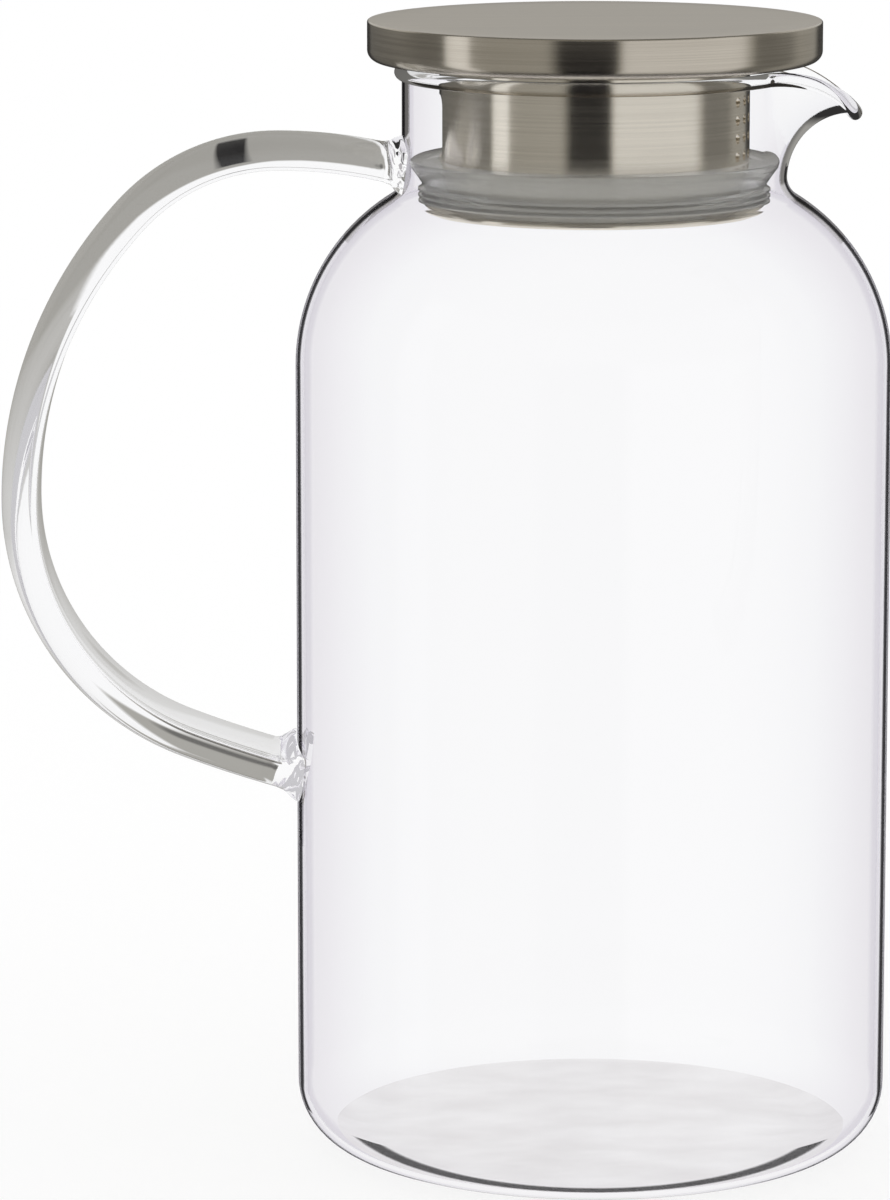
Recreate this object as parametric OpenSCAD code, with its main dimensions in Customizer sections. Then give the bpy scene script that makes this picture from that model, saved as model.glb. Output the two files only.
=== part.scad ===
// Glass pitcher with a steel lid. The jug is blown glass with a pulled spout and a fused handle.
// The lid is a hollow cap with a strainer sleeve and a silicone seal ring that sits in the neck.
// Millimetres, +Z up. The origin is the centre of the base; the spout points to +X.

/* [Jug] */
// outside diameter of the body
body_d = 120; // [110:1:130]
// height of the jug, from the base to the rim
jug_h = 220.4; // [205:0.2:240]
// thickness of the blown glass
wall = 2; // [1.6:0.1:2.6]
// outside radius of the bottom edge
base_r = 13; // [8:1:20]
// outside radius of the shoulder
shoulder_r = 40; // [34:1:46]
// outside diameter of the neck
neck_d = 77; // [75:0.2:80]
// straight height of the neck
neck_h = 22; // [19:0.5:25]
// radius of the hollow curve between shoulder and neck
neck_fillet = 5; // [4:0.5:8]
// radius of the round bead on the rim
bead_r = 1.4; // [1.3:0.1:1.7]

/* [Spout] */
// length of the lip, from the rim to the tip
spout_len = 18.2; // [16:0.2:21]
// width of the spout across its mouth
spout_w = 34; // [30:1:38]
// outside radius of the throat below the mouth
throat_r = 9.8; // [8.8:0.1:11]
// slope of the lip below the level
spout_droop = 42; // [36:0.5:46]

/* [Handle] */
// clear reach of the handle beyond the body
handle_reach = 59.2; // [55:0.2:64]
// diameter of the handle's round crown, which is about its width across the hand
handle_w = 20; // [18:0.5:22]
// thickness of the handle, from the flat grip side to the crown
handle_t = 8; // [7.4:0.1:9]
// distance of the handle's upper joint below the rim
handle_drop = 16; // [13:0.5:18]
// radius of the grip above its widest point
grip_r = 89; // [82:1:94]
// radius of the grip below its widest point
heel_r = 56; // [52:1:61]
// radius of the upper bend
bend_r = 43; // [38:1:48]
// radius of the upper arm's gentle curve to the neck
upper_r = 100; // [85:5:125]
// radius of the lower arm's gentle curve to the body
lower_r = 240; // [200:5:280]
// angle above the level at which the grip turns into the upper bend
bend_start = 43; // [40:0.1:47]
// angle below the level at which the heel turns into the lower arm
heel_end = 68.5; // [65:0.5:72]
// spread of the fused feet
foot_flare = 3; // [2:0.25:4]

/* [Lid] */
// diameter of the cap
cap_d = 91.2; // [88:0.2:96]
// thickness of the cap
cap_h = 7.1; // [6.5:0.1:9]
// radius of the cap's lower edge
cap_edge_r = 2.9; // [2:0.1:3.5]
// thickness of the lid's sheet steel
steel = 0.8; // [0.6:0.1:1]
// gap between the rim and the cap
rim_gap = 1.9; // [1:0.1:3]
// outside diameter of the sleeve
sleeve_d = 62; // [58:0.5:64]
// length of the sleeve below the cap
sleeve_h = 32.2; // [31:0.2:36]
// angle of the strainer holes from the spout
lid_turn = -12; // [-90:1:90]
// width of the pouring window
window_w = 22.2; // [18:0.2:26]
// height of the pouring window
window_h = 12.6; // [10:0.2:14]
// diameter of the strainer holes
hole_d = 2; // [1.5:0.1:2.4]
// rows of strainer holes
hole_rows = 4; // [3:1:4]
// columns of strainer holes
hole_columns = 6; // [4:1:8]

/* [Seal] */
// height of the seal ring
seal_h = 9.6; // [9:0.2:11]
// gap between the seal's flange and the neck
seal_gap = 0.3; // [0.3:0.05:0.6]

/* [Hidden] */
$fn = 96;
glass_colour = [0.86, 0.9, 0.92, 0.45];
steel_colour = [0.68, 0.66, 0.62];
silicone_colour = [0.86, 0.86, 0.85];

body_r = body_d / 2;
neck_r = neck_d / 2;
bore_r = neck_r - wall;
reach = body_r + handle_reach;

// heights of the centres of the neck's hollow curve and of the shoulder's round
fillet_z = jug_h - neck_h;
shoulder_x = body_r - shoulder_r;
fillet_x = neck_r + neck_fillet;
fillet_rise = sqrt(pow(shoulder_r + neck_fillet, 2) - pow(fillet_x - shoulder_x, 2));
shoulder_z = fillet_z - fillet_rise;

// the spout's mouth: a circle in the plane of the lip, which starts beside the rim's bead
lip_r = 1.2;
mouth_r = spout_w / 2;
flare_r = mouth_r - throat_r;
flare_depth = flare_r + 2 * lip_r;
throat_depth = 30;
lip_start = [bore_r + 2 * bead_r + 1.4, jug_h - 0.7];
mouth_step = spout_len - mouth_r;
mouth_x = lip_start[0] + mouth_step * cos(spout_droop);
mouth_z = lip_start[1] - mouth_step * sin(spout_droop);

// the handle's crown line: five arcs that run into each other, from the neck round to the body
grip_x = reach - grip_r;
heel_x = reach - heel_r;
bend_step = (grip_r - bend_r) * [cos(bend_start), sin(bend_start)];
lower_step = (lower_r - heel_r) * [-cos(heel_end), sin(heel_end)];
bend_x = grip_x + bend_step[0];
lower_x = heel_x + lower_step[0];
upper_joint = asin((bend_x - neck_r) / upper_r);
lower_joint = asin((body_r - lower_x) / lower_r);
upper_sweep = asin((bend_x - neck_r / 2) / upper_r);
bend_z = jug_h - handle_drop + upper_r * (1 - cos(upper_joint)) - bend_r;
grip_z = bend_z - bend_step[1];
foot_sink = 6;
foot_bury = 0.4;

// the lid's levels, from the cap down
cap_r = cap_d / 2;
cap_z = jug_h + rim_gap;
cap_top_r = 0.6;
curl_w = 1.2;
curl_r = cap_r - cap_edge_r - curl_w;
pan_lap = 1.5;
pan_z = cap_z + steel;
sleeve_r = sleeve_d / 2;
sleeve_z = pan_z - sleeve_h;
lip_h = 1;
lip_w = 3;
seal_fit = 0.05;
seal_play = 0.3;
seal_z = sleeve_z + lip_h + seal_play;
seal_top = seal_z + seal_h;
window_rise = 0.4;
window_r = 2.5;
row_pitch = 3.6;
row_rise = 1.6;
column_pitch = 7.2;

// seal ring: a flange that meets the neck, a waist and three short fins below it
flange_r = bore_r - seal_gap;
flange_t = 1.3;
waist_r = sleeve_r + 3.4;
waist_z = seal_top - 5.2;
fin_r = waist_r + 1.2;
fin_h = 1.5;
fin_count = 3;

// half outline of the vessel, moved in from its outer skin by inset, with its neck up to top
module vessel_outline(inset, top) {
    bottom_r = base_r - inset;
    hollow_r = neck_fillet + inset;
    tangent = shoulder_r / (shoulder_r + neck_fillet);
    translate([0, inset])
        square([body_r - base_r, base_r]);
    translate([body_r - base_r, base_r])
        intersection() {
            circle(bottom_r);
            translate([0, -bottom_r])
                square(bottom_r);
        }
    translate([0, base_r])
        square([body_r - inset, shoulder_z - base_r]);
    translate([shoulder_x, shoulder_z])
        intersection() {
            circle(shoulder_r - inset);
            square(shoulder_r);
        }
    translate([0, shoulder_z])
        square([shoulder_x, shoulder_r - inset]);
    difference() {
        polygon([
            [0, shoulder_z],
            [shoulder_x, shoulder_z],
            [shoulder_x + tangent * (fillet_x - shoulder_x), shoulder_z + tangent * fillet_rise],
            [fillet_x, fillet_z],
            [0, fillet_z]
        ]);
        translate([fillet_x, fillet_z])
            circle(hollow_r);
    }
    translate([0, fillet_z])
        square([neck_r - inset, top - fillet_z]);
}

module vessel_solid() {
    rotate_extrude()
        vessel_outline(0, jug_h - bead_r);
}

module vessel_hollow() {
    rotate_extrude()
        vessel_outline(wall, jug_h + wall);
}

module rim_bead() {
    rotate_extrude()
        translate([bore_r + bead_r, jug_h - bead_r])
            circle(bead_r);
}

// half outline of the spout's trumpet on its own axis; the lip lies at zero
module trumpet_outline(inset, top) {
    difference() {
        translate([0, -throat_depth])
            square([mouth_r - lip_r, throat_depth + top]);
        translate([throat_r - inset, -throat_depth])
            square([mouth_r, throat_depth - flare_depth]);
        translate([mouth_r, -flare_depth])
            circle(flare_r + inset);
        translate([0, inset > 0 ? throat_depth : lip_r - flare_depth + flare_r])
            square([mouth_r, throat_depth]);
    }
}

module lip_round() {
    translate([mouth_r - lip_r, -lip_r])
        circle(lip_r);
}

module on_spout_axis() {
    translate([mouth_x, 0, mouth_z])
        rotate([0, spout_droop, 0])
            children();
}

module spout_solid() {
    intersection() {
        on_spout_axis()
            rotate_extrude() {
                trumpet_outline(0, 0);
                lip_round();
            }
        cylinder(r = 2 * body_r, h = jug_h - 0.2);
    }
}

module spout_hollow() {
    on_spout_axis()
        rotate_extrude()
            difference() {
                trumpet_outline(wall, 4 * lip_r);
                lip_round();
            }
}

module glass_jug() {
    color(glass_colour)
        difference() {
            union() {
                vessel_solid();
                rim_bead();
                spout_solid();
            }
            vessel_hollow();
            spout_hollow();
        }
}

// section of the handle: a round crown, cut flat on the grip side, with its crown at crown_r
module handle_section(crown_r) {
    half_w = handle_w / 2;
    translate([crown_r - half_w, 0])
        intersection() {
            circle(half_w);
            translate([half_w - handle_t, -half_w])
                square([handle_t, handle_w]);
        }
}

// arc of the handle that starts level and turns up by sweep
module handle_arc(crown_r, sweep) {
    rotate_extrude(angle = sweep)
        handle_section(crown_r);
}

// moves by step in two parts, so that its small decimals aren't lost
module fine_step(step) {
    coarse = [round(step[0] * 10), round(step[1] * 10)] / 10;
    translate(coarse)
        translate(step - coarse)
            children();
}

// half outline of a foot: it spreads in a hollow curve to its full radius
module foot_outline(pad_r) {
    difference() {
        square([pad_r, foot_flare + foot_sink]);
        translate([pad_r, 0])
            circle(foot_flare);
    }
}

// flared foot where an arm meets the glass, the same on its round and its flat side
module handle_foot(crown_r) {
    half_w = handle_w / 2;
    pad_r = half_w - foot_bury + foot_flare;
    flat_x = crown_r - handle_t + foot_bury - foot_flare;
    translate([0, 0, -foot_flare])
        intersection() {
            translate([crown_r - half_w, 0, 0])
                rotate_extrude()
                    foot_outline(pad_r);
            translate([flat_x, handle_w, 0])
                rotate([90, 0, 0])
                    linear_extrude(2 * handle_w)
                        translate([handle_w, 0])
                            mirror([1, 0])
                                foot_outline(handle_w);
        }
}

module glass_handle() {
    color(glass_colour)
        difference() {
            rotate([0, 0, 180])
                rotate([90, 0, 0]) {
                    translate([grip_x, grip_z]) {
                        handle_arc(grip_r, bend_start);
                        fine_step(bend_step)
                            rotate([0, 0, 90]) {
                                mirror([0, 1, 0])
                                    handle_arc(bend_r, 90 - bend_start);
                                translate([bend_r - upper_r, 0]) {
                                    handle_arc(upper_r, upper_sweep);
                                    rotate([-90, 0, upper_joint])
                                        handle_foot(upper_r);
                                }
                            }
                    }
                    translate([heel_x, grip_z]) {
                        mirror([0, 1, 0])
                            handle_arc(heel_r, heel_end);
                        fine_step(lower_step)
                            rotate([0, 0, -90]) {
                                handle_arc(lower_r, 90 - heel_end);
                                rotate([90, 0, lower_joint])
                                    handle_foot(lower_r);
                            }
                    }
                }
            vessel_solid();
        }
}

// half outline of the cap, moved in from its outer skin by inset
module cap_outline(inset) {
    low_r = cap_edge_r - inset;
    side = cap_r - inset;
    floor_z = cap_z + inset;
    roof_z = cap_z + cap_h - inset;
    translate([0, floor_z])
        square([side - low_r, roof_z - floor_z]);
    translate([0, floor_z + low_r])
        square([side, roof_z - cap_top_r - floor_z - low_r]);
    translate([0, roof_z - cap_top_r])
        square([side - cap_top_r, cap_top_r]);
    translate([side - low_r, floor_z + low_r])
        circle(low_r);
    translate([side - cap_top_r, roof_z - cap_top_r])
        circle(cap_top_r);
}

module lid_shell() {
    color(steel_colour)
        rotate_extrude()
            difference() {
                cap_outline(0);
                cap_outline(steel);
                square([curl_r, pan_z]);
            }
}

module lid_pan() {
    color(steel_colour)
        translate([0, 0, pan_z])
            cylinder(r = curl_r + pan_lap, h = steel);
}

module window_outline() {
    straight_w = window_w - 2 * window_r;
    straight_h = window_h - 2 * window_r;
    square([window_w, straight_h], center = true);
    square([straight_w, window_h], center = true);
    for (side = [-1, 1], end = [-1, 1])
        translate([side * straight_w / 2, end * straight_h / 2])
            circle(window_r);
}

module strainer_sleeve() {
    inner_r = sleeve_r - steel;
    color(steel_colour)
        rotate([0, 0, lid_turn])
            difference() {
                rotate_extrude() {
                    translate([inner_r, sleeve_z])
                        square([steel, sleeve_h]);
                    translate([inner_r, sleeve_z])
                        square([steel + lip_w - lip_h / 2, lip_h]);
                    translate([sleeve_r + lip_w - lip_h / 2, sleeve_z + lip_h / 2])
                        circle(lip_h / 2);
                }
                translate([-sleeve_r / 2, 0, seal_top + window_rise + window_h / 2])
                    rotate([90, 0, -90])
                        linear_extrude(sleeve_r)
                            window_outline();
                for (row = [0 : hole_rows - 1], column = [0 : hole_columns - 1])
                    rotate([0, 0, (column - (hole_columns - 1) / 2) * column_pitch])
                        translate([sleeve_r / 2, 0, seal_top + row_rise + row * row_pitch])
                            rotate([0, 90, 0])
                                cylinder(d = hole_d, h = sleeve_r);
            }
}

module seal_ring() {
    ring_r = sleeve_r + seal_fit;
    color(silicone_colour)
        rotate_extrude() {
            translate([ring_r, seal_z])
                square([waist_r - ring_r, seal_h]);
            polygon([
                [ring_r, waist_z],
                [waist_r, waist_z],
                [flange_r, seal_top - flange_t],
                [flange_r, seal_top],
                [ring_r, seal_top]
            ]);
            for (fin = [0 : fin_count - 1])
                translate([0, seal_z + fin * fin_h])
                    polygon([[ring_r, 0], [waist_r, 0], [fin_r, fin_h / 2], [waist_r, fin_h], [ring_r, fin_h]]);
        }
}

glass_jug();
glass_handle();
lid_shell();
lid_pan();
strainer_sleeve();
seal_ring();
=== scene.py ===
import math
import bpy
from mathutils import Matrix, Vector


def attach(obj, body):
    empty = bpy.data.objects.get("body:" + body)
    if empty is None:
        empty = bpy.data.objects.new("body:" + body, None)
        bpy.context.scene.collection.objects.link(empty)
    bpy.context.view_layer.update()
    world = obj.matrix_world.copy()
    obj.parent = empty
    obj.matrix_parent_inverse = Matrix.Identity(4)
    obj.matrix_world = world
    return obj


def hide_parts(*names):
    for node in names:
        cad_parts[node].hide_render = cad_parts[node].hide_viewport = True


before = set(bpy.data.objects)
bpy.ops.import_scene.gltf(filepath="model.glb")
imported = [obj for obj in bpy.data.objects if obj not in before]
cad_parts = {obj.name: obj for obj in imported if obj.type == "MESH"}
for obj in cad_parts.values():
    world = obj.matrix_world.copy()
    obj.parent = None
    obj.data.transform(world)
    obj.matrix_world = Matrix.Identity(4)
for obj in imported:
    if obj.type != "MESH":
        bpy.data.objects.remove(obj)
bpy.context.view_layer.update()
mm = 0.001
print("frame loaded:", ", ".join(sorted(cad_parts)))


def deselectAll():
    if bpy.context.object and bpy.context.object.mode != "OBJECT":
        bpy.ops.object.mode_set(mode="OBJECT")
    bpy.ops.object.select_all(action="DESELECT")


def makeActive(piece):
    deselectAll()
    piece.select_set(True)
    bpy.context.view_layer.objects.active = piece


def arc(x, z, r, start, end, steps):
    # points on a circle in the half plane, angles in degrees from the outward direction
    angles = [math.radians(start + (end - start) * i / steps) for i in range(steps + 1)]
    return [(x + r * math.cos(a), z + r * math.sin(a)) for a in angles]


def levels(x, low, high, count):
    # points on an upright line, without its two ends
    return [(x, low + (high - low) * i / count) for i in range(1, count)]


def turned(name, outline, steps, closed=True, capEnds=False):
    # a ring is extruded from point to point of the outline, as on a lathe
    deselectAll()
    r, z = outline[0]
    bpy.ops.mesh.primitive_circle_add(vertices=steps, radius=r * mm, location=(0, 0, z * mm))
    piece = bpy.context.object
    piece.name = piece.data.name = name
    bpy.ops.object.transform_apply(location=True, rotation=False, scale=False)
    bpy.ops.object.mode_set(mode="EDIT")
    bpy.ops.mesh.select_all(action="SELECT")
    if capEnds:
        bpy.ops.mesh.edge_face_add()
        bpy.ops.mesh.select_all(action="SELECT")
    for (r0, z0), (r1, z1) in zip(outline, outline[1:]):
        bpy.ops.mesh.extrude_edges_move(TRANSFORM_OT_translate={"value": (0, 0, (z1 - z0) * mm)})
        bpy.ops.transform.resize(value=(r1 / r0, r1 / r0, 1), center_override=(0, 0, z1 * mm))
    if capEnds:
        bpy.ops.mesh.edge_face_add()
    bpy.ops.mesh.select_all(action="SELECT")
    if closed:
        bpy.ops.mesh.remove_doubles(threshold=1e-6)
    bpy.ops.mesh.normals_make_consistent(inside=False)
    bpy.ops.object.mode_set(mode="OBJECT")
    return piece


def combine(piece, other, operation):
    makeActive(piece)
    modifier = piece.modifiers.new("combine", "BOOLEAN")
    modifier.operation = operation
    modifier.solver = "EXACT"
    modifier.object = other
    modifier.material_mode = "TRANSFER" if operation == "UNION" else "INDEX"
    bpy.ops.object.modifier_apply(modifier=modifier.name)
    bpy.data.objects.remove(other)


def smooth(piece, angle):
    makeActive(piece)
    bpy.ops.object.shade_smooth_by_angle(angle=math.radians(angle), keep_sharp_edges=False)


def linear(code):
    # sRGB hex to the linear values that the shaders take
    parts = [int(code[i:i + 2], 16) / 255 for i in (0, 2, 4)]
    return [p / 12.92 if p <= 0.04045 else ((p + 0.055) / 1.055) ** 2.4 for p in parts] + [1.0]


def plug(tree, socket, value):
    # a node gives its first output, None leaves the socket alone, and a constant is set on it
    if isinstance(value, bpy.types.Node):
        value = value.outputs[0]
    if isinstance(value, bpy.types.NodeSocket):
        tree.links.new(value, socket)
    elif value is not None:
        socket.default_value = value


def addNode(tree, kind, *inputs, stops=(), **values):
    # inputs fill the sockets in their order; values name a socket or a setting; stops are a colour ramp's
    node = tree.nodes.new(kind)
    for name, value in values.items():
        if name in node.inputs:
            plug(tree, node.inputs[name], value)
        else:
            setattr(node, name, value)
    for socket, value in zip(node.inputs, inputs):
        plug(tree, socket, value)
    if stops:
        elements = node.color_ramp.elements
        elements.remove(elements[-1])
        for index, (position, tone) in enumerate(stops):
            element = elements.new(position) if index else elements[0]
            element.position = position
            element.color = linear(tone) if isinstance(tone, str) else (tone, tone, tone, 1)
    return node


def newMaterial(name, settings):
    material = bpy.data.materials.new(name)
    material.use_nodes = True
    shader = material.node_tree.nodes["Principled BSDF"]
    for socket, value in settings.items():
        shader.inputs[socket].default_value = value
    return material, material.node_tree, shader


# glass jug
jug = {
    "bodyR": 59.9, "wall": 1.3, "baseR": 13.0, "shoulderR": 40.0, "neckR": 38.5, "neckFillet": 5.0,
    "neckZ": 198.4, "rimZ": 220.4, "beadR": 1.4, "punt": 0.5, "puntEdge": 0.2, "floor": 1.6,
    "floorRings": (10.0, 30.0, 42.0), "baseZ": 4.0, "heelZ": 9.5, "rimLap": 0.2, "steps": 360,
    "levelInside": 0.96, "levelBase": 0.9,  # upward share of a normal from which a face counts as level
}
jug["boreR"] = jug["neckR"] - jug["wall"]
shoulderX = jug["bodyR"] - jug["shoulderR"]
filletX = jug["neckR"] + jug["neckFillet"]
filletRise = math.sqrt((jug["shoulderR"] + jug["neckFillet"]) ** 2 - (filletX - shoulderX) ** 2)
shoulderZ = jug["neckZ"] - filletRise
turnIn = math.degrees(math.atan2(filletRise, filletX - shoulderX))
footX = jug["bodyR"] - jug["baseR"]
beadX = jug["boreR"] + jug["beadR"]
beadZ = jug["rimZ"] - jug["beadR"]
beadLow = beadZ - jug["beadR"]
beadStart = -math.degrees(math.acos((jug["neckR"] - beadX) / jug["beadR"]))


def vesselLine(inset):
    # outline from the bottom edge up to the neck, moved in by inset
    line = arc(footX, jug["baseR"], jug["baseR"] - inset, -90, 0, 16)
    line += levels(jug["bodyR"] - inset, jug["baseR"], shoulderZ, 6)
    line += arc(shoulderX, shoulderZ, jug["shoulderR"] - inset, 0, turnIn, 24)
    line += arc(filletX, jug["neckZ"], jug["neckFillet"] + inset, 180 + turnIn, 180, 10)[1:]
    return line


innerRing, midRing, outerRing = jug["floorRings"]
puntTop = jug["floor"] + jug["punt"]
outline = [(innerRing, jug["punt"]), (midRing, jug["punt"]), (outerRing, jug["puntEdge"])]
outline += vesselLine(0)
outline += levels(jug["neckR"], jug["neckZ"], beadLow, 24)
outline += arc(beadX, beadZ, jug["beadR"], beadStart, 180, 16)
outline += levels(jug["boreR"], beadZ, jug["neckZ"], 24)
outline += vesselLine(jug["wall"])[::-1]
outline += [(outerRing, jug["floor"]), (midRing, puntTop), (innerRing, puntTop)]
glass = turned("glassJug", outline, jug["steps"], capEnds=True)


def jugFaces(test):
    # numbers of the faces that pass a test on their centre, normal and outward lean
    return [face.index for face in glass.data.polygons
            if test(face.center / mm, face.normal, face.normal.xy.dot(face.center.xy))]


rimFaces = jugFaces(lambda centre, normal, lean: centre.z > beadLow - jug["rimLap"])
innerFaces = jugFaces(lambda centre, normal, lean: lean < 0 or abs(normal.z) > jug["levelInside"])
baseFaces = jugFaces(
    lambda centre, normal, lean: abs(normal.z) > jug["levelBase"] and centre.z < jug["baseZ"])
heelFaces = jugFaces(lambda centre, normal, lean: lean > 0 and centre.z < jug["heelZ"])
print("jug turned:", len(glass.data.vertices), "points")

# spout: the neck's wall bends outwards over a root line, most in the middle and less to the sides
spout = {"rootZ": 197.6, "halfAngle": 34.0, "bend": 100.0, "length": 22.6, "clearOut": 0.3, "clearUp": 2.0}


def pullSpout(piece):
    wallLength = jug["rimZ"] - spout["rootZ"]
    for vertex in piece.data.vertices:
        x, y, z = vertex.co / mm
        aside = abs(math.degrees(math.atan2(y, x))) / spout["halfAngle"]
        along = z - spout["rootZ"]
        if aside >= 1 or along <= 0:
            continue
        share = math.cos(aside * math.pi / 2) ** 2
        turn = math.radians(spout["bend"]) * share
        if turn < 1e-4:
            continue
        flat = math.hypot(x, y)
        depth = flat - jug["neckR"]
        bendR = (wallLength + (spout["length"] - wallLength) * share) / turn
        here = turn * along / wallLength
        r = jug["neckR"] + bendR * (1 - math.cos(here)) + depth * math.cos(here)
        z = spout["rootZ"] + bendR * math.sin(here) - depth * math.sin(here)
        vertex.co = Vector((x * r / flat, y * r / flat, z)) * mm


pullSpout(glass)
spoutR = jug["neckR"] + spout["clearOut"]
spoutZ = spout["rootZ"] + spout["clearUp"]
spoutFaces = jugFaces(lambda centre, normal, lean: centre.xy.length > spoutR and centre.z > spoutZ)
print("spout pulled")

# glass handle: one half-round section, spun through five arcs from the neck to the body
handle = {
    "reach": 119.1, "width": 20.0, "thick": 7.5, "edgeR": 0.8, "roll": 3.0, "jointZ": 204.4, "sink": 1.2,
    "upperR": 100.0, "bendR": 43.0, "gripR": 89.0, "heelR": 56.0, "lowerR": 240.0,
    "bendStart": 43.0, "heelEnd": 68.5, "crownSteps": 40, "edgeSteps": 6,
    "tall": 0.55, "wide": 0.08, "flareLength": 3.0, "flareFall": 1.4, "flareReach": 9.0,
    "ripple": 0.03, "rippleLength": 1.2,
}
gripX = handle["reach"] - handle["gripR"]
heelX = handle["reach"] - handle["heelR"]
bendStep = handle["gripR"] - handle["bendR"]
bendAngle = math.radians(handle["bendStart"])
heelAngle = math.radians(handle["heelEnd"])
bendX = gripX + bendStep * math.cos(bendAngle)
upperFall = math.asin((bendX - jug["neckR"]) / handle["upperR"])
upperStart = math.asin((bendX - jug["neckR"] + handle["sink"]) / handle["upperR"])
bendZ = handle["jointZ"] + handle["upperR"] * (1 - math.cos(upperFall)) - handle["bendR"]
gripZ = bendZ - bendStep * math.sin(bendAngle)
lowerX = heelX - (handle["lowerR"] - handle["heelR"]) * math.cos(heelAngle)
lowerZ = gripZ + (handle["lowerR"] - handle["heelR"]) * math.sin(heelAngle)
lowerEnd = math.asin((jug["bodyR"] - handle["sink"] - lowerX) / handle["lowerR"])
upperZ = bendZ + handle["bendR"] - handle["upperR"]


def handleSection():
    # half-round crown with a flat grip side and two rounded edges; points are (out, across)
    half, edgeR, thick = handle["width"] / 2, handle["edgeR"], handle["thick"]
    crown, corner = handle["crownSteps"], handle["edgeSteps"]
    section = []
    for i in range(crown + 1):
        a = math.pi * i / crown
        out = thick * (math.sin(a) - 1)
        if out > edgeR - thick:
            section.append((out, half * math.cos(a)))
    for hand in (-1, 1):
        for i in range(corner + 1):
            a = math.pi / 2 * (i if hand < 0 else corner - i) / corner
            out = edgeR - edgeR * math.sin(a) - thick
            section.append((out, hand * (half - edgeR + edgeR * math.cos(a))))
    # rolled a little about its middle, as hand-drawn bars are
    middle, roll = -thick / 2, math.radians(handle["roll"])
    return [(middle + (out - middle) * math.cos(roll) - across * math.sin(roll),
             (out - middle) * math.sin(roll) + across * math.cos(roll)) for out, across in section]


section = handleSection()
startAngle = math.pi / 2 + upperStart
deselectAll()
bpy.ops.mesh.primitive_circle_add(vertices=len(section), radius=handle["width"] / 2 * mm)
bar = bpy.context.object
bar.name = bar.data.name = "glassHandle"
for vertex, (out, across) in zip(bar.data.vertices, section):
    r = handle["upperR"] + out
    vertex.co = Vector((-bendX - r * math.cos(startAngle), across, upperZ + r * math.sin(startAngle))) * mm
bpy.ops.object.mode_set(mode="EDIT")
bpy.ops.mesh.select_all(action="SELECT")
bpy.ops.mesh.edge_face_add()
arcs = [
    (bendX, upperZ, upperStart, 40),
    (bendX, bendZ, math.pi / 2 - bendAngle, 24),
    (gripX, gripZ, bendAngle, 40),
    (heelX, gripZ, heelAngle, 40),
    (lowerX, lowerZ, math.pi / 2 - heelAngle - lowerEnd, 30),
]
for x, z, angle, steps in arcs:
    bpy.ops.mesh.spin(steps=steps, angle=angle, center=(-x * mm, 0, z * mm), axis=(0, 1, 0))
bpy.ops.mesh.edge_face_add()
bpy.ops.mesh.select_all(action="SELECT")
bpy.ops.mesh.remove_doubles(threshold=1e-6)
bpy.ops.mesh.normals_make_consistent(inside=False)
bpy.ops.object.mode_set(mode="OBJECT")
print("handle spun:", len(bar.data.vertices), "points")


def workFeet(piece):
    # the bar's ends spread and ripple where the soft glass was pushed on
    for vertex in piece.data.vertices:
        x, z = -vertex.co.x / mm, vertex.co.z / mm
        upper = z > gripZ
        away = x - (jug["neckR"] if upper else jug["bodyR"])
        if away >= handle["flareReach"] or x >= bendX:
            continue
        if upper:
            fall = math.asin((bendX - x) / handle["upperR"])
            middleZ = upperZ + (handle["upperR"] - handle["thick"] / 2) * math.cos(fall)
        else:
            climb = math.asin((x - lowerX) / handle["lowerR"])
            middleZ = lowerZ - (handle["lowerR"] - handle["thick"] / 2) * math.cos(climb)
        share = max(away, 0) / handle["flareLength"]
        spread = math.exp(-(share * handle["flareFall"]) ** 2)
        ripple = handle["ripple"] * math.cos(2 * math.pi * away / handle["rippleLength"]) * math.exp(-share)
        vertex.co.z = (middleZ + (z - middleZ) * (1 + handle["tall"] * spread + ripple)) * mm
        vertex.co.y *= 1 + handle["wide"] * spread + ripple


workFeet(bar)

# how the glass handles light; edge values are Layer Weight's Facing, from 0 square on to 1 edge on
optics = {
    "ior": 1.47, "rough": 0.006, "enterFrom": 0.12, "enterTo": 0.4, "totalFrom": 0.262,
    "caughtAfter": 8, "neckLow": 186.0,
    "body": "FAFAFB", "mirror": "BCBCBC", "dark": "0A090C", "caught": "CCCBCE", "clear": "FDFDFD",
}
white = linear("FFFFFF")
black = linear("000000")


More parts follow.
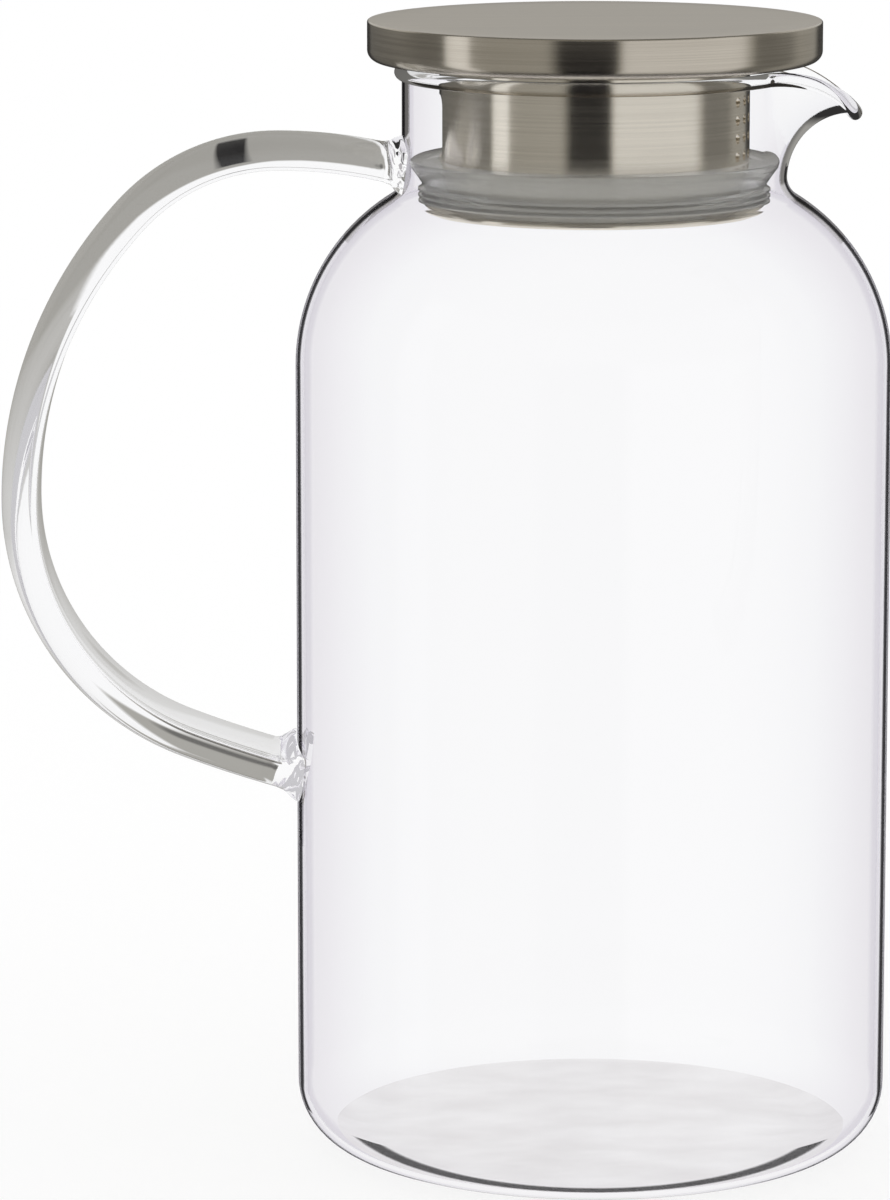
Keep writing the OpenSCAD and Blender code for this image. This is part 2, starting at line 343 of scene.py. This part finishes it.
def makeGlass(name, tintAndShadeStops=None, paintedDarkStops=None, roughness=optics["rough"], passGlossy=True):
    # clear and colourless; where a wall is seen end on, a dark outline is painted in as painted shade
    material, tree, shader = newMaterial(name, {
        "Base Color": linear(optics["body"]), "Roughness": roughness, "IOR": optics["ior"],
        "Transmission Weight": 1.0})
    material.cycles.emission_sampling = "NONE"
    path = addNode(tree, "ShaderNodeLightPath").outputs
    facing = addNode(tree, "ShaderNodeLayerWeight", 0.5).outputs["Facing"]
    backSide = addNode(tree, "ShaderNodeNewGeometry").outputs["Backfacing"]
    surface = shader
    # the outside mirrors the soft light weakly; reflection inside the wall loses nothing
    mirror = addNode(tree, "ShaderNodeMixRGB", backSide, linear(optics["mirror"]), white)
    plug(tree, shader.inputs["Specular Tint"], mirror)
    if tintAndShadeStops:
        # close to the outline the thin wall mirrors little: it lets light through with a faint tint that
        # deepens into painted shade towards the outline
        tintAndShade = addNode(tree, "ShaderNodeValToRGB", facing, stops=tintAndShadeStops)
        colour = addNode(tree, "ShaderNodeMixRGB", backSide, tintAndShade, white)
        bent = addNode(tree, "ShaderNodeBsdfRefraction", colour, roughness, optics["ior"])
        entering = addNode(tree, "ShaderNodeMapRange", facing, optics["enterFrom"], optics["enterTo"])
        leaving = addNode(tree, "ShaderNodeMath", facing, optics["totalFrom"], operation="LESS_THAN")
        clean = addNode(tree, "ShaderNodeMixRGB", backSide, entering, leaving)
        surface = addNode(tree, "ShaderNodeMixShader", clean, surface, bent)
    if paintedDarkStops:
        # painted shade: black where the wall is seen end on, but not where other glass shows it again
        paintedDark = addNode(tree, "ShaderNodeValToRGB", facing, stops=paintedDarkStops)
        outside = addNode(tree, "ShaderNodeMixRGB", backSide, paintedDark, black)
        direct = addNode(tree, "ShaderNodeMath", outside, path["Is Camera Ray"], operation="MULTIPLY")
        dark = addNode(tree, "ShaderNodeBsdfDiffuse", linear(optics["dark"]))
        surface = addNode(tree, "ShaderNodeMixShader", direct, surface, dark)
    # light caught in a thick corner comes out somewhere: after some bounces a painted glow of room light
    # stands in for it
    depth = path["Ray Depth"]
    caught = addNode(tree, "ShaderNodeMath", depth, optics["caughtAfter"], operation="GREATER_THAN")
    glow = addNode(tree, "ShaderNodeEmission", linear(optics["caught"]), 1.0)
    surface = addNode(tree, "ShaderNodeMixShader", caught, surface, glow)
    # light falls through to the floor
    passing = addNode(tree, "ShaderNodeMath", path["Is Shadow Ray"], path["Is Diffuse Ray"],
                      operation="MAXIMUM")
    if passGlossy:
        # what the steel mirrors comes straight in through the neck's wall
        place = addNode(tree, "ShaderNodeTexCoord").outputs["Object"]
        height = addNode(tree, "ShaderNodeSeparateXYZ", place).outputs["Z"]
        atNeck = addNode(tree, "ShaderNodeMath", height, optics["neckLow"] * mm, operation="GREATER_THAN")
        mirrored = addNode(tree, "ShaderNodeMath", path["Is Glossy Ray"], path["Is Transmission Ray"],
                           operation="SUBTRACT", use_clamp=True)
        straight = addNode(tree, "ShaderNodeMath", mirrored, atNeck, operation="MULTIPLY")
        passing = addNode(tree, "ShaderNodeMath", passing, straight, operation="MAXIMUM")
    clear = addNode(tree, "ShaderNodeBsdfTransparent", linear(optics["clear"]))
    surface = addNode(tree, "ShaderNodeMixShader", passing, surface, clear)
    plug(tree, tree.nodes["Material Output"].inputs["Surface"], surface)
    return material


# borosilicate glass: thin blown wall, with a painted black outline and a faint cool painted shade beside the
# black
tintAndEdgeShadeStops = [
    (0.0, "FBFBFC"), (0.35, "FAFAFB"), (0.6, "F5F4F6"), (0.74, "F3F2F4"), (0.79, "E6E4E9"), (1.0, "DCDAE0"),
]
outlineStops = [
    (0.0, "000000"), (0.81, "000000"), (0.826, "E1E1E1"), (0.838, "F9F9F9"), (0.885, "F9F9F9"),
    (0.905, "BCBCBC"), (1.0, "CBCBCB"),
]
blown = makeGlass("borosilicateGlass", tintAndEdgeShadeStops, outlineStops)
# the inside of the wall: its outline lies behind the outer one and stays clear
inside = makeGlass("borosilicateInside", tintAndEdgeShadeStops)
# the same glass where the flame has rounded it: clear, with faint painted shade towards the outline and a
# fine painted dark line
clearStops = [(0.0, "FEFEFE"), (1.0, "F4F4F6")]
fineStops = [(0.0, "000000"), (0.9, "000000"), (0.95, "B4B4B4"), (1.0, "C8C8C8")]
polished = makeGlass("firePolishedGlass", clearStops, fineStops)
# the heel, where the wall turns into the bottom: a painted dark line, and painted dark along the outline,
# stand in for the light its bend throws aside
heelStops = [
    (0.0, "000000"), (0.42, "000000"), (0.45, "EEEEEE"), (0.53, "EEEEEE"), (0.56, "000000"),
    (0.84, "000000"), (0.9, "DCDCDC"),
]
heel = makeGlass("heelGlass", tintAndEdgeShadeStops, heelStops)
# the bottom: greyed with painted shadow in place of the floor's shade under the jug, mottled by faint scuffs
# from standing on tables, in streaks of a centimetre or two
scuffedAndShaded = makeGlass("scuffedAndShadedGlass", [(0.3, "E5E3E4"), (0.7, "F1F0F1")])
tree = scuffedAndShaded.node_tree
onBottom = addNode(tree, "ShaderNodeTexCoord").outputs["Object"]
streaks = addNode(tree, "ShaderNodeMapping", Vector=onBottom, Scale=(45, 80, 45))
scuffsAndShade = addNode(tree, "ShaderNodeTexNoise", Vector=streaks, Scale=1.0, Detail=8.0)
plug(tree, tree.nodes["Color Ramp"].inputs["Fac"], scuffsAndShade)
# pressed glass: solid and flawless, so it bends the studio into crisp bands
pressed = makeGlass("pressedGlass", roughness=0.0, passGlossy=False)
# the handle's feet, worked soft with the flame: clear and without bands
worked = makeGlass("flameWorkedGlass", clearStops, passGlossy=False)

for material in (blown, polished, inside, scuffedAndShaded, heel):
    glass.data.materials.append(material)
finishes = [(inside, innerFaces), (heel, heelFaces), (scuffedAndShaded, baseFaces), (polished, rimFaces + spoutFaces)]
for material, faces in finishes:
    for index in faces:
        glass.data.polygons[index].material_index = glass.data.materials.find(material.name)
for material in (pressed, worked):
    bar.data.materials.append(material)
for face in bar.data.polygons:
    jointX = jug["neckR"] if face.center.z > gripZ * mm else jug["bodyR"]
    if -face.center.x / mm < jointX + handle["flareLength"]:
        face.material_index = bar.data.materials.find(worked.name)
combine(glass, bar, "UNION")
smooth(glass, 40)
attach(glass, "jug")
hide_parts("glass_jug", "glass_handle")
print("glass fused:", len(glass.data.polygons), "faces")

# lid
lid = {
    "capR": 45.4, "capZ": 221.3, "capH": 8.08, "edgeR": 2.2, "topR": 0.4, "steel": 0.8, "curl": 1.2,
    "topRings": (38.0, 20.0, 6.0, 0.02), "underRing": 30.0, "lap": 1.5, "panRing": 2.0,
    "sleeveR": 31.0, "sleeveZ": 190.9, "sleeveRings": (212.0, 200.0), "lipH": 1.0, "lipW": 3.0,
    "lipFillet": 0.5, "turn": -12.0, "steps": 256,
}
capTop = lid["capZ"] + lid["capH"]
capUnder = capTop - lid["steel"]
panZ = lid["capZ"] + lid["steel"]
panTop = panZ + lid["steel"]


def capLine(inset):
    low, top = lid["edgeR"] - inset, lid["topR"]
    wallR = lid["capR"] - inset
    line = arc(wallR - low, lid["capZ"] + lid["edgeR"], low, -90, 0, 12)
    line += arc(wallR - top, capTop - inset - top, top, 0, 90, 6)
    return line


curlR = lid["capR"] - lid["edgeR"] - lid["curl"]
shellLine = [(curlR, panZ), (curlR, lid["capZ"])] + capLine(0)
shellLine += [(r, capTop) for r in lid["topRings"]]
shellLine += [(lid["topRings"][-1], capUnder), (lid["underRing"], capUnder)]
shellLine += capLine(lid["steel"])[::-1] + [(curlR, panZ)]
shell = turned("capShell", shellLine, lid["steps"])
smooth(shell, 30)
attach(shell, "lid")
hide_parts("lid_shell")
panR = curlR + lid["lap"]
panLine = [(lid["panRing"], panZ), (panR, panZ), (panR, panTop), (lid["panRing"], panTop)]
pan = turned("capPan", panLine, lid["steps"], closed=False, capEnds=True)
smooth(pan, 30)
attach(pan, "lid")
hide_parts("lid_pan")

# strainer sleeve: a tube with a rolled lip, a pouring window and rows of holes
window = {"width": 22.2, "height": 12.6, "corner": 2.5, "z": 208.5, "depth": 16.0}
holes = {
    "across": 2.0, "rows": 4, "columns": 6, "rowPitch": 3.6, "columnPitch": 7.2, "z": 203.4, "depth": 6.0,
}
innerR = lid["sleeveR"] - lid["steel"]
lipTop = lid["sleeveZ"] + lid["lipH"]
lipRound = lid["lipH"] / 2
sleeveLine = [(innerR, z) for z in (panZ, *lid["sleeveRings"], lid["sleeveZ"])]
sleeveLine += arc(lid["sleeveR"] + lid["lipW"] - lipRound, lid["sleeveZ"] + lipRound, lipRound, -90, 90, 8)
sleeveLine += [(lid["sleeveR"] + lid["lipFillet"], lipTop), (lid["sleeveR"], lipTop + lid["lipFillet"])]
sleeveLine += [(lid["sleeveR"], z) for z in (*lid["sleeveRings"][::-1], panZ)]
sleeveLine += [(innerR, panZ)]
sleeve = turned("strainerSleeve", sleeveLine, lid["steps"])
deselectAll()
bpy.ops.mesh.primitive_cube_add(size=1, location=(-lid["sleeveR"] * mm, 0, window["z"] * mm))
cutter = bpy.context.object
cutter.scale = (window["depth"] * mm, window["width"] * mm, window["height"] * mm)
bpy.ops.object.transform_apply(location=True, rotation=False, scale=True)
bpy.ops.object.mode_set(mode="EDIT")
bpy.ops.mesh.select_all(action="DESELECT")
bpy.ops.object.mode_set(mode="OBJECT")
for cutterEdge in cutter.data.edges:
    a, b = (cutter.data.vertices[i].co for i in cutterEdge.vertices)
    cutterEdge.select = abs(a.x - b.x) > 1 * mm  # the four edges that run through the wall
bpy.ops.object.mode_set(mode="EDIT")
bpy.ops.mesh.bevel(offset=window["corner"] * mm, segments=8, affect="EDGES")
bpy.ops.object.mode_set(mode="OBJECT")
combine(sleeve, cutter, "DIFFERENCE")
for row in range(holes["rows"]):
    for column in range(holes["columns"]):
        turn = math.radians((column - (holes["columns"] - 1) / 2) * holes["columnPitch"])
        holeZ = holes["z"] + row * holes["rowPitch"]
        place = Vector((lid["sleeveR"] * math.cos(turn), lid["sleeveR"] * math.sin(turn), holeZ))
        deselectAll()
        bpy.ops.mesh.primitive_cylinder_add(
            vertices=24, radius=holes["across"] / 2 * mm, depth=holes["depth"] * mm,
            location=place * mm, rotation=(0, math.pi / 2, turn))
        drill = bpy.context.object
        bpy.ops.object.transform_apply(location=True, rotation=True, scale=True)
        combine(sleeve, drill, "DIFFERENCE")
sleeve.data.transform(Matrix.Rotation(math.radians(lid["turn"]), 4, "Z"))
smooth(sleeve, 30)
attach(sleeve, "lid")
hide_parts("strainer_sleeve")
print("lid made")

# silicone seal ring
seal = {
    "boreR": 31.05, "bottomZ": 192.2, "topZ": 201.8, "flangeR": 36.9, "waistR": 34.2, "waistZ": 196.8,
    "flangeT": 1.3, "undercut": 0.2, "edgeR": 0.5, "chamfer": 0.3, "finR": 35.2, "finH": 1.5, "finTip": 0.25,
    "fins": 3, "steps": 192,
}
sealLine = [(seal["boreR"], seal["bottomZ"]), (seal["waistR"], seal["bottomZ"])]
for fin in range(seal["fins"]):
    finZ = seal["bottomZ"] + fin * seal["finH"]
    tipZ = finZ + seal["finH"] / 2
    sealLine += [(seal["finR"], tipZ - seal["finTip"]), (seal["finR"], tipZ + seal["finTip"])]
    sealLine += [(seal["waistR"], finZ + seal["finH"])]
sealLine += [(seal["waistR"], seal["waistZ"])]
sealLine += [(seal["flangeR"] - seal["undercut"], seal["topZ"] - seal["flangeT"])]
sealLine += arc(seal["flangeR"] - seal["edgeR"], seal["topZ"] - seal["edgeR"], seal["edgeR"], 0, 90, 5)
sealLine += [(seal["boreR"] + seal["chamfer"], seal["topZ"]), (seal["boreR"], seal["topZ"] - seal["chamfer"])]
sealLine += [(seal["boreR"], seal["bottomZ"])]
ring = turned("sealRing", sealLine, seal["steps"])
smooth(ring, 30)
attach(ring, "seal")
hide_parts("seal_ring")
print("seal made")


# brushed stainless steel: warm grey, with fine lines that smear reflections across them
def makeSteel(name, lineScale, anisotropy, roughness, tones=("C6BFB3", "D0C9BD")):
    material, tree, shader = newMaterial(name, {
        "Metallic": 1.0, "Anisotropic": anisotropy, "Anisotropic Rotation": 0.25})
    place = addNode(tree, "ShaderNodeTexCoord").outputs["Object"]
    stretch = addNode(tree, "ShaderNodeMapping", Vector=place, Scale=lineScale)
    lines = addNode(tree, "ShaderNodeTexNoise", Vector=stretch, Scale=1.0, Detail=3.0)
    colour = addNode(tree, "ShaderNodeValToRGB", lines, stops=[(0.35, tones[0]), (0.65, tones[1])])
    shine = addNode(tree, "ShaderNodeMapRange", lines, 0, 1, roughness - 0.05, roughness + 0.05)
    tangent = addNode(tree, "ShaderNodeTangent", direction_type="RADIAL", axis="Z")
    plug(tree, shader.inputs["Base Color"], colour)
    plug(tree, shader.inputs["Roughness"], shine)
    plug(tree, shader.inputs["Tangent"], tangent)
    return material


# real lines are ten to the millimetre; they are drawn coarser here so that they show
roundBrushed = makeSteel("brushedSteelRound", (20, 20, 3500), 0.96, 0.22)
flatBrushed = makeSteel("brushedSteelFlat", (20, 1500, 20), 0.0, 0.32)
# the drawn tube is brighter than the cap
tubeBrushed = makeSteel("brushedSteelTube", (20, 20, 3500), 0.96, 0.22, ("E0DACE", "EAE4D8"))
for material in (roundBrushed, flatBrushed):
    shell.data.materials.append(material)
pan.data.materials.append(roundBrushed)
sleeve.data.materials.append(tubeBrushed)
for face in shell.data.polygons:
    if face.normal.z > 0.99 and face.center.z > (capTop - 0.1) * mm:
        face.material_index = shell.data.materials.find(flatBrushed.name)

# silicone rubber: milky, lets the steel behind it show through softly
silicone = newMaterial("siliconeRubber", {
    "Base Color": linear("DADAD6"), "Roughness": 0.12, "IOR": 1.41, "Transmission Weight": 0.75})[0]
ring.data.materials.append(silicone)
print("materials made")

# floor of white paper; steel and glass show the studio in its place
ground = {"radius": 4.0, "z": -0.0004}
deselectAll()
bpy.ops.mesh.primitive_circle_add(
    vertices=96, radius=ground["radius"], fill_type="NGON", location=(0, 0, ground["z"]))
floor = bpy.context.object
floor.name = "floor"
paper = newMaterial("whitePaper", {"Base Color": white, "Roughness": 0.9, "Specular IOR Level": 0.0})[0]
floor.data.materials.append(paper)
floor.visible_glossy = False
floor.visible_transmission = False

# camera at the photograph's place
view = {"distance": 1.2236, "height": 0.3333, "around": 5.0, "aimLeft": 1.398, "down": 10.26, "lens": 184.1}
around = math.radians(view["around"])
deselectAll()
bpy.ops.object.camera_add(
    location=(-view["distance"] * math.sin(around), -view["distance"] * math.cos(around), view["height"]),
    rotation=(math.radians(90 - view["down"]), 0, math.radians(view["aimLeft"] - view["around"])))
camera = bpy.context.object
camera.data.lens = view["lens"]
camera.data.sensor_width = 36
camera.data.clip_start = 0.01
scene = bpy.context.scene
scene.camera = camera

# studio: plain white all round for the thin glass; the solid handle and the steel show what stands in it
scene.view_settings.view_transform = "Standard"
scene.cycles.max_bounces = 32
scene.cycles.glossy_bounces = 12
scene.cycles.transmission_bounces = 32
world = bpy.data.worlds.new("studio")
scene.world = world
world.use_nodes = True
world.cycles.sampling_method = "NONE"
tree = world.node_tree
tree.nodes.clear()
# places and sizes in degrees, levels of light from 0 to 1
room = {
    "tableEdge": 3.6, "tableLeft": -20.0, "leftHigh": 0.46, "leftLow": 0.64, "leftClose": 0.86,
    "spot": (-35.0, -36.0, 0.0), "spotLevel": 0.62, "greyFar": 0.42, "greyNear": 0.36,
    "column": 0.36, "columnLow": 6.5, "patchLeft": 3.0, "patchRight": 13.0, "patchLevel": 0.38,
    "core": (5.0, 10.0, 0.0), "coreLevel": 0.12, "post": -7.2, "postLean": 0.25, "postHalf": 1.6,
    "postFan": 0.1, "postFoot": 10.0, "postLow": 8.0, "postHigh": 38.0, "postLevel": 0.012, "ends": 76.0,
    "below": 0.03, "behind": 0.62, "front": 0.4, "ceiling": 0.2, "mirrored": 0.34,
}


def overlay(level, *covers):
    # each cover has a level and its bounds; a bound is a measure that brings it in from start to end
    for cover, *bounds in covers:
        share = 1.0
        for measure, start, end in bounds:
            fade = addNode(tree, "ShaderNodeMapRange", measure, start, end)
            share = addNode(tree, "ShaderNodeMath", share, fade, operation="MULTIPLY")
        level = addNode(tree, "ShaderNodeMix", share, None, level, cover)
    return level


# side is 0 straight behind the jug, or straight in front, and grows to the right; rise is 0 at the
# horizon; turn goes all round from 0 at the camera; all in degrees
direction = addNode(tree, "ShaderNodeTexCoord").outputs["Generated"]
faced = addNode(tree, "ShaderNodeVectorRotate", rotation_type="Z_AXIS", Vector=direction, Angle=around)
toRight, toBack, toTop = addNode(tree, "ShaderNodeSeparateXYZ", faced).outputs
eitherWay = addNode(tree, "ShaderNodeMath", toBack, operation="ABSOLUTE")
toFront = addNode(tree, "ShaderNodeMath", toBack, -1.0, operation="MULTIPLY")
side = addNode(tree, "ShaderNodeMath", toRight, eitherWay, operation="ARCTAN2")
side = addNode(tree, "ShaderNodeMath", side, operation="DEGREES")
rise = addNode(tree, "ShaderNodeMath", toTop, operation="ARCSINE")
rise = addNode(tree, "ShaderNodeMath", rise, operation="DEGREES")
turn = addNode(tree, "ShaderNodeMath", toRight, toFront, operation="ARCTAN2")
turn = addNode(tree, "ShaderNodeMath", turn, operation="DEGREES")
lookedAt = addNode(tree, "ShaderNodeCombineXYZ", side, rise)
toSpot = addNode(tree, "ShaderNodeVectorMath", lookedAt, room["spot"], operation="DISTANCE").outputs["Value"]
toCore = addNode(tree, "ShaderNodeVectorMath", lookedAt, room["core"], operation="DISTANCE").outputs["Value"]

# a white table, grey to the left, runs to an edge
table = overlay(
    room["leftLow"],
    (room["leftHigh"], (rise, -10, 3)),  # darker towards the edge
    (room["leftClose"], (rise, -16, -22)),  # lighter close by
    (1.0, (side, room["tableLeft"] - 2, room["tableLeft"] + 2)),
    (room["spotLevel"], (toSpot, 8, 3)))  # one dim spot
# above it stands a grey wall with a leaning dark post and a patch with a dark core, and white beyond
overFoot = addNode(tree, "ShaderNodeMath", rise, room["postFoot"], operation="SUBTRACT")
offPost = addNode(tree, "ShaderNodeMath", side, room["post"], operation="SUBTRACT")
offPost = addNode(tree, "ShaderNodeMath", overFoot, room["postLean"], offPost, operation="MULTIPLY_ADD")
postHalf = addNode(
    tree, "ShaderNodeMath", overFoot, room["postFan"], room["postHalf"], operation="MULTIPLY_ADD")
postSide = addNode(tree, "ShaderNodeMath", offPost, operation="ABSOLUTE")
postSide = addNode(tree, "ShaderNodeMath", postSide, postHalf, operation="SUBTRACT")
wall = overlay(
    room["greyFar"],
    (room["greyNear"], (side, -60, -34)),
    (room["column"], (offPost, 0, 1)),
    (room["patchLevel"], (side, room["patchLeft"] - 1, room["patchLeft"] + 1)),
    (room["coreLevel"], (toCore, 3.5, 1.5)),
    (1.0, (side, room["patchRight"] - 1, room["patchRight"] + 1.5)),
    (room["postLevel"], (postSide, 0.5, -0.5), (rise, room["postLow"] - 1, room["postLow"]),
     (rise, room["postHigh"] + 4, room["postHigh"])))
edgeRise = overlay(room["tableEdge"], (room["columnLow"], (side, -5, -2)))
overEdge = addNode(tree, "ShaderNodeMath", rise, edgeRise, operation="SUBTRACT")
aside = addNode(tree, "ShaderNodeMath", side, operation="ABSOLUTE")
handleView = overlay(table, (wall, (overEdge, -0.8, 1.0)), (1.0, (aside, room["ends"], room["ends"] + 4)))

# what the steel mirrors: light panels beside the camera, a dark gap at it, dark flags to the sides and below
panelLevels = [
    (-180, 0.03), (-160, 0.03), (-156, 0.14), (-82, 0.18), (-80, 1.0), (-67, 1.0), (-65, 0.36), (-24, 0.4),
    (-17, 0.01), (11, 0.01), (15, 0.85), (80, 0.8), (90, 0.2), (116, 0.18), (126, 0.34), (146, 0.34),
    (154, 0.05),
]
allRound = addNode(tree, "ShaderNodeMapRange", turn, -180, 180)
panelStops = [((angle + 180) / 360, level) for angle, level in panelLevels]
panels = addNode(tree, "ShaderNodeValToRGB", allRound, stops=panelStops)
path = addNode(tree, "ShaderNodeLightPath").outputs
isCrisp = (path["Is Singular Ray"], 0, 1)  # only the handle's flawless glass sends such rays
steelView = overlay(
    panels,
    (room["below"], (rise, -40, -50)),
    (room["behind"], (toBack, 0.2, 0.5), (rise, 2, 8)),
    (room["front"], (toBack, -0.2, -0.5), (rise, 12, 18)),
    (room["ceiling"], (rise, 34, 40)),
    (room["mirrored"], isCrisp))
studio = overlay(
    1.0,
    (steelView, (path["Is Glossy Ray"], 0, 1)),
    (overlay(1.0, (handleView, isCrisp)), (path["Is Transmission Ray"], 0, 1)))
# greys of the room are a little warm, its darks bluish
tone = addNode(tree, "ShaderNodeValToRGB", studio, stops=[(0.0, "08070E"), (0.38, "A7A59F"), (1.0, "FFFFFF")])
background = addNode(tree, "ShaderNodeBackground", tone, 1.0)
addNode(tree, "ShaderNodeOutputWorld", background)
print("studio lit")
